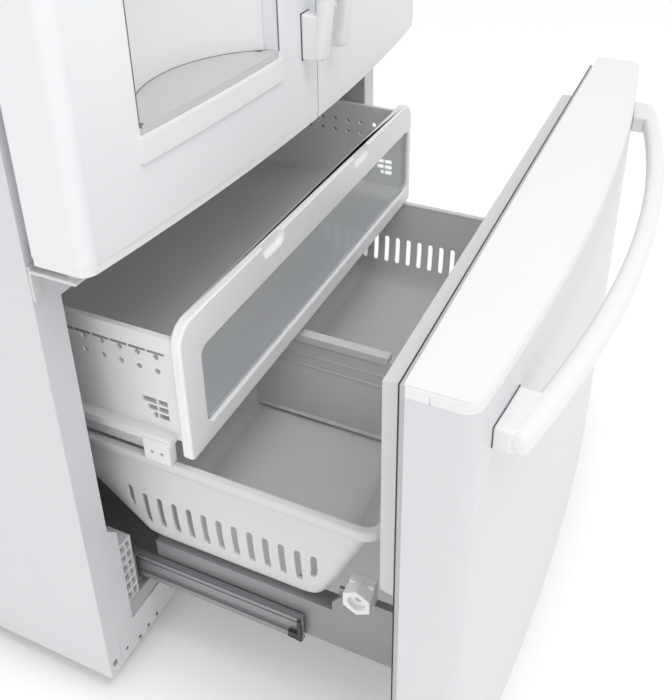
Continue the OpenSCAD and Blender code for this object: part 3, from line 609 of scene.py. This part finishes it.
def slot_block(centre, low):
    """Ring of faces between one round-ended slot and its block of the skin."""
    top, bottom = SLOT_TOP - SLOT_HALF, low + SLOT_HALF
    up = np.radians(np.arange(0, 181, 22.5))
    inner, outer = [], []
    for angles, cz, height in ((up, top, BLOCK_HIGH - top), (up + np.pi, bottom, bottom - BLOCK_LOW)):
        c, s = np.cos(angles), np.sin(angles)
        m = np.maximum(np.abs(c), np.abs(s))
        inner += list(np.stack([centre + SLOT_HALF * c, cz + SLOT_HALF * s], -1))
        outer += list(np.stack([centre + BLOCK_HALF * c / m, cz + height * s / m], -1))
        if cz == top:
            for z in np.linspace(top, bottom, 6)[1:-1]:
                inner.append((centre - SLOT_HALF, z))
                outer.append((centre - BLOCK_HALF, z))
    for z in np.linspace(bottom, top, 6)[1:-1]:
        inner.append((centre + SLOT_HALF, z))
        outer.append((centre + BLOCK_HALF, z))
    ring = np.array(outer + inner)
    n = len(outer)
    return side_points(ring[:, 0], ring[:, 1]), grid_faces(2, n, closed=True)


rows_z = np.concatenate([np.linspace(0.3775, BLOCK_HIGH, 6), np.linspace(BLOCK_HIGH, BLOCK_LOW, 9)[1:],
                         [0.232, 0.227, 0.222, 0.218, 0.214, 0.210, 0.2075, 0.205, 0.2038, 0.203]])
centres = SLOT_FIRST - SLOT_PITCH * np.arange(SLOT_COUNT)
edges = np.sort(np.concatenate([centres - BLOCK_HALF, centres + BLOCK_HALF,
                                [0.030, 0.058, 0.095, 0.132, -0.285]]))[::-1]
is_slot = np.array([np.any(np.abs((a + b) / 2 - centres) < 1e-5)
                    for a, b in zip(edges[:-1], edges[1:])])
in_block = np.array([(a <= BLOCK_HIGH + 1e-9) and (b >= BLOCK_LOW - 1e-9)
                     for a, b in zip(rows_z[:-1], rows_z[1:])])
Y, Z = np.meshgrid(edges, rows_z)
side_skin = side_points(Y, Z).reshape(-1, 3)
quads = grid_faces(len(rows_z), len(edges)).reshape(len(rows_z) - 1, len(edges) - 1, 4)
keep = ~(in_block[:, None] & is_slot[None, :])
left_parts = [(side_skin, quads[keep])]
for k, c in enumerate(centres):
    left_parts.append(slot_block(c, 0.262 if k in (0, 12) else 0.246))

corner = np.radians(np.linspace(0, 90, 9))
front_rows, back_rows = [], []
for z in rows_z:
    w, f = half_width(z), front_line(z)
    cy = f + CORNER
    start = side_points(np.array(-0.285), np.array(z))
    arc = np.stack([-(w - CORNER) - CORNER * np.cos(corner), cy - CORNER * np.sin(corner)], -1)
    straight = np.stack([np.linspace(-(w - CORNER), 0, 9)[1:], np.full(8, f)], -1)
    plan = np.concatenate([[start[:2]], arc, straight])
    front_rows.append(np.stack([plan[:, 0], plan[:, 1], drop(plan[:, 1], z)], -1))
    arc = np.stack([-(w - CORNER) - CORNER * np.cos(corner), 0.132 + CORNER * np.sin(corner)], -1)
    straight = np.stack([np.linspace(-(w - CORNER), 0, 9)[1:], np.full(8, 0.150)], -1)
    plan = np.concatenate([arc, straight])
    back_rows.append(np.stack([plan[:, 0], plan[:, 1], drop(plan[:, 1], z)], -1))
for rows in (front_rows, back_rows):
    left_parts.append((np.concatenate(rows), grid_faces(len(rows_z), len(rows[0]))))
low_y = np.sort(np.concatenate([side_y(edges, np.full(len(edges), 0.203)), [front_line(0.203), 0.150]]))
low_w = np.where(low_y < front_line(0.203) + CORNER, 0.336 - CORNER,
                 np.where(low_y > 0.132, 0.336 - CORNER, 0.336))
bottom = np.stack([np.stack([-low_w * t, low_y, floor_height(low_y)], -1) for t in np.linspace(1, 0, 9)])
left_parts.append((bottom.reshape(-1, 3), grid_faces(9, len(low_y))))
left = join_parts(left_parts)
basket = add_piece("lower_basket_skin", *join_parts([left, mirror_x(left)]), basket_white, "drawer", 50,
                   "lower_basket")
wall = basket.modifiers.new("wall", "SOLIDIFY")
wall.thickness, wall.offset = 0.0028, -1
print("basket skin:", len(basket.data.polygons), "faces")

# %% Add the basket's rim
def rounded_plan(low, high, radius, n=9):
    """Points and outward directions round a rectangle with round corners."""
    (x0, y0), (x1, y1) = low, high
    turn = np.radians(np.linspace(0, 90, n))
    points, out = [], []
    for cx, cy, start in ((x1 - radius, y1 - radius, 0), (x0 + radius, y1 - radius, 90),
                          (x0 + radius, y0 + radius, 180), (x1 - radius, y0 + radius, 270)):
        a = turn + math.radians(start)
        d = np.stack([np.cos(a), np.sin(a)], -1)
        points.append(np.array([cx, cy]) + radius * d)
        out.append(d)
    return np.concatenate(points), np.concatenate(out)


def ring_of(plan, profile):
    """Carries a closed profile of (outward, height) values round a plan outline."""
    points, out = plan
    rows = [np.column_stack([points + out * o, np.full(len(points), z)]) for o, z in profile]
    rows.append(rows[0])
    return np.concatenate(rows), grid_faces(len(rows), len(points), closed=True)


RIM = [(-0.0028, 0.3770), (-0.0028, 0.3796), (-0.0018, 0.3808), (0.0, 0.381), (0.0060, 0.381),
       (0.0074, 0.3805), (0.0080, 0.3790), (0.0080, 0.3675), (0.0074, 0.3668), (0.0058, 0.3668),
       (0.0055, 0.3680), (0.0055, 0.3765), (0.0, 0.3765)]
plan = rounded_plan((-0.364, -0.353), (0.364, 0.150), 0.020)
add_piece("lower_basket_rim", *ring_of(plan, RIM), basket_white, "drawer", 50)
print("rim made")

# %% [markdown]
# ## Pockets and skirt of the upper basket
# A row of thin grey patches under the rim of the upper basket paints the shade inside its
# shallow pockets, and a pale skirt at each side closes the gap above the lower basket's rim.

# %% Add the pockets and the skirts
# Thin grey patches under the rim: painted shade inside the pockets.
pocket_shades = []
for k in range(16):
    y = -0.070 + 0.0262 * k
    pocket_shades.append(block((-0.3583, y - 0.0118, 0.5395), (-0.3578, y + 0.0118, 0.5468)))
add_piece("upper_basket_pocket_shades", *join_parts(pocket_shades + [mirror_x(p) for p in pocket_shades]), grey_plastic_and_painted_shade,
          "upper_drawer")
skirt = block((-0.3604, -0.046, 0.3835), (-0.3594, 0.360, 0.4125))
add_piece("upper_basket_skirt", *join_parts([skirt, mirror_x(skirt)]), liner_white, "upper_drawer")
print("pockets:", 2 * len(pocket_shades))

# %% [markdown]
# ## Painted shade at joints and gaps
# Thin dark strips paint the shade where two parts meet: round the drawer's seal, at the
# dispenser's opening and round its tray.

# %% Draw the painted shade strips
def frame_strip(half, z0, z1, wide, y0, y1):
    """A flat rectangular ring, wide by that much, that stands across Y from y0 to y1."""
    outer = np.array([(-half, z0), (half, z0), (half, z1), (-half, z1)])
    inner = outer + np.array([(wide, wide), (-wide, wide), (-wide, -wide), (wide, -wide)])
    corners = ((outer, y0), (outer, y1), (inner, y1), (inner, y0), (outer, y0))
    rows = [np.insert(r, 1, y, axis=1) for r, y in corners]
    return np.concatenate(rows), grid_faces(5, 4, closed=True)


# Dark and grey rings round the drawer's seal: painted shade in the gaps at the gasket's edges.
add_piece("drawer_seal_painted_shadow", *frame_strip(0.4416, 0.0694, 0.6746, 0.004, -0.4052, -0.4038),
          painted_gap_shadow, "drawer")
add_piece("drawer_seal_painted_shade", *frame_strip(0.4464, 0.0676, 0.6774, 0.004, -0.4146, -0.4134),
          painted_gap_shade, "drawer")
# Grey strips at the dispenser's side edges and an arc where its back wall meets the tray: painted shade in
# these gaps.
edge_y = float(front_y(0.360, DOOR_EDGE))
inner_y = float(front_y(0.100, DOOR_EDGE))
gap_shade_strips = [block((-0.3606, edge_y - 0.0004, 0.8320), (-0.3592, edge_y + 0.0012, 1.126)),
          block((-0.1008, inner_y - 0.0004, 0.8320), (-0.0994, inner_y + 0.0010, 1.126))]
add_piece("dispenser_side_gap_shade", *join_parts(gap_shade_strips), painted_gap_shade, "door_left")
turn = np.linspace(np.radians(32), np.radians(148), 60)
ring = [np.stack([-0.230 + r * np.cos(turn), -0.172 + r * np.sin(turn)], -1) for r in (0.1498, 0.1510)]
add_piece("dispenser_tray_gap_shade", *prism(np.concatenate([ring[0], ring[1][::-1]]), 0.8305, 0.8316, 2),
          painted_gap_shade, "door_left")
print("seams drawn")

# %% [markdown]
# ## Runner details
# Dark strips of painted shade mark the grooves of the middle runners, a plastic clip sits at the end
# of each, and a low round screw head is set in each side flange.

# %% Add groove shade strips, clips and screws
GROOVE = 0.0012
# Dark strips on the middle runners: painted shade in their grooves.
groove_shades = [block((-0.3638, -0.249, z), (-0.3633, 0.180, z + GROOVE)) for z in (0.1415, 0.1650, 0.1735)]
add_piece("middle_runner_groove_shade", *join_parts(groove_shades + [mirror_x(p) for p in groove_shades]), dark_plastic_and_painted_shade,
          "middle_runners")
clips = [block((-0.3662, -0.2495, 0.1340), (-0.3620, -0.2300, 0.1450)),
         block((-0.3662, -0.2495, 0.1340), (-0.3640, -0.2440, 0.1720))]
clip = add_piece("runner_clips", *join_parts(clips + [mirror_x(c) for c in clips]), dark_plastic_and_painted_shade,
                 "middle_runners")
soften(clip, 0.0006, 2)


def screw_head(x, y, z, radius):
    """A low dome that faces the front, from rings of points round the Y axis."""
    a = np.linspace(0, 2 * np.pi, 24, endpoint=False)
    rows = [np.stack([x + r * np.cos(a), np.full(24, y - h), z + r * np.sin(a)], -1)
            for r, h in ((radius, -0.0005), (radius, 0.0008), (radius * 0.8, 0.0016),
                         (radius * 0.35, 0.0018), (radius * 0.3, 0.0010))]
    faces = [list(f) for f in grid_faces(5, 24, closed=True)]
    return np.concatenate(rows), faces + [list(range(24))[::-1], list(range(96, 120))]


SCREW_X, SCREW_Z, SCREW_RADIUS = 0.444, 0.048, 0.0045
heads = [screw_head(s * SCREW_X, 0.0, SCREW_Z, SCREW_RADIUS) for s in (-1, 1)]
add_piece("flange_screws", *join_parts(heads), zinc_steel, "cabinet", 30)
print("clips and screws added")
